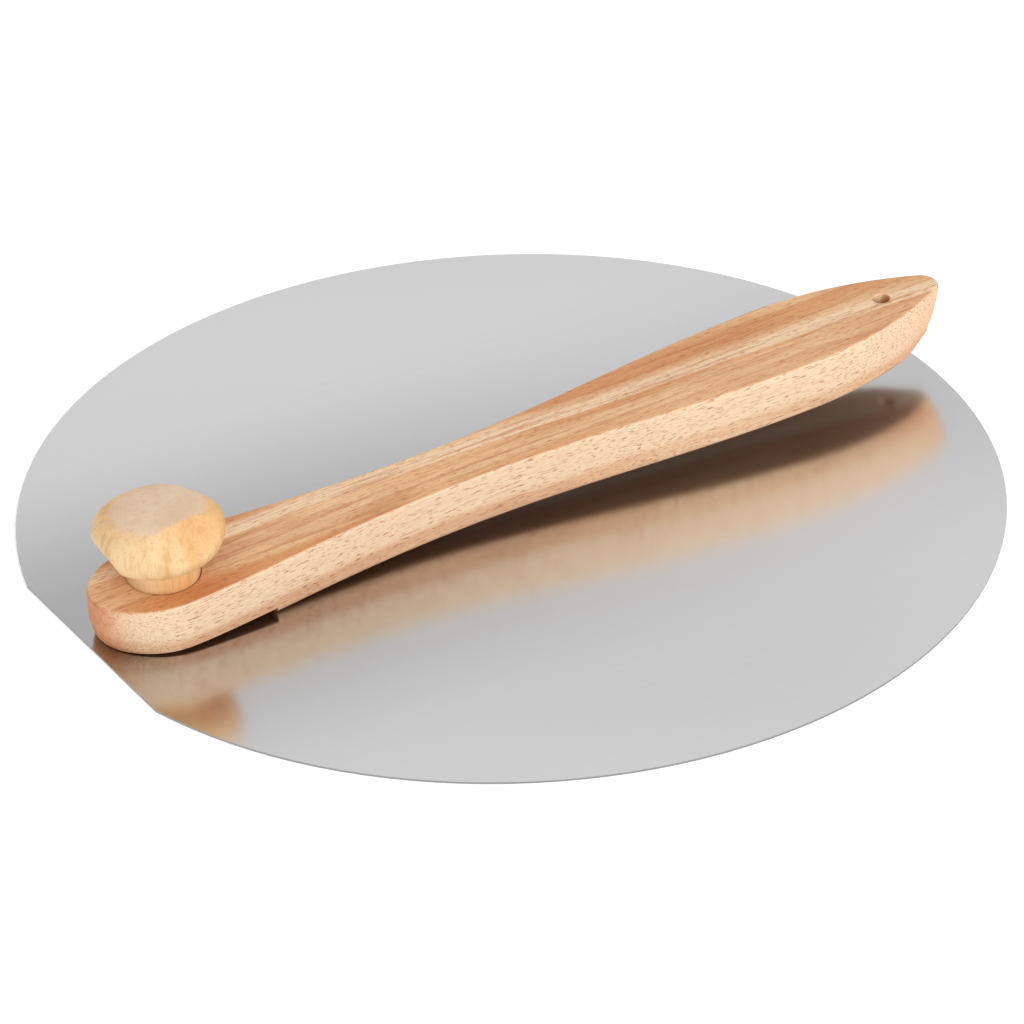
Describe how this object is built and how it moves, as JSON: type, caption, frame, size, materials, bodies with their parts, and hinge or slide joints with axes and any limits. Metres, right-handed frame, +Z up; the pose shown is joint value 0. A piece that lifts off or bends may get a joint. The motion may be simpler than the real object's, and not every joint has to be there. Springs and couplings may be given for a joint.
{
  "type": "folding pizza peel",
  "caption": "Round steel peel blade with a straight edge and a folding wooden handle, which turns on a stud and is clamped by a wooden knob; it lifts and turns pizzas in an oven.",
  "frame": {"origin": "centre of the disc on the blade's underside, which rests on the table", "axes": "+Z up, square to the blade; +X along the folded handle from the pivot to the grip; the straight edge faces -X"},
  "size_m": [0.4052, 0.406, 0.0551],
  "materials": {
    "blade_steel": "satin rolled stainless sheet, neutral grey, with soft reflections",
    "stud_steel": "bright turned stainless",
    "handle_wood": "oiled pale hardwood, tan on top and cream on the sides, with brown flecks",
    "washer_steel": "bright stainless",
    "knob_wood": "sanded pale hardwood, end grain on top",
    "insert_brass": "turned brass"
  },
  "bodies": {
    "blade": {"blade": "blade_steel", "pivot_stud": "stud_steel"},
    "handle": {"handle": "handle_wood"},
    "washer": {"washer": "washer_steel"},
    "knob": {"knob": "knob_wood", "knob_insert": "insert_brass"}
  },
  "joints": [
    {"name": "handle_swing", "type": "hinge", "parent": "blade", "child": "handle", "pos_m": [-0.16119, 0, 0], "axis": [0, 0, 1], "range_deg": [-180, 180]},
    {"name": "knob_rise", "type": "slide", "parent": "blade", "child": "washer", "axis": [0, 0, 1], "range_m": [0, 0.004]},
    {"name": "knob_turn", "type": "hinge", "parent": "washer", "child": "knob", "pos_m": [-0.16119, 0, 0], "axis": [0, 0, 1], "range_deg": [0, 1440]}
  ],
  "couplings": [
    {"joint": "knob_rise", "follows": "knob_turn", "m_per_rad": 0.00015915}
  ]
}
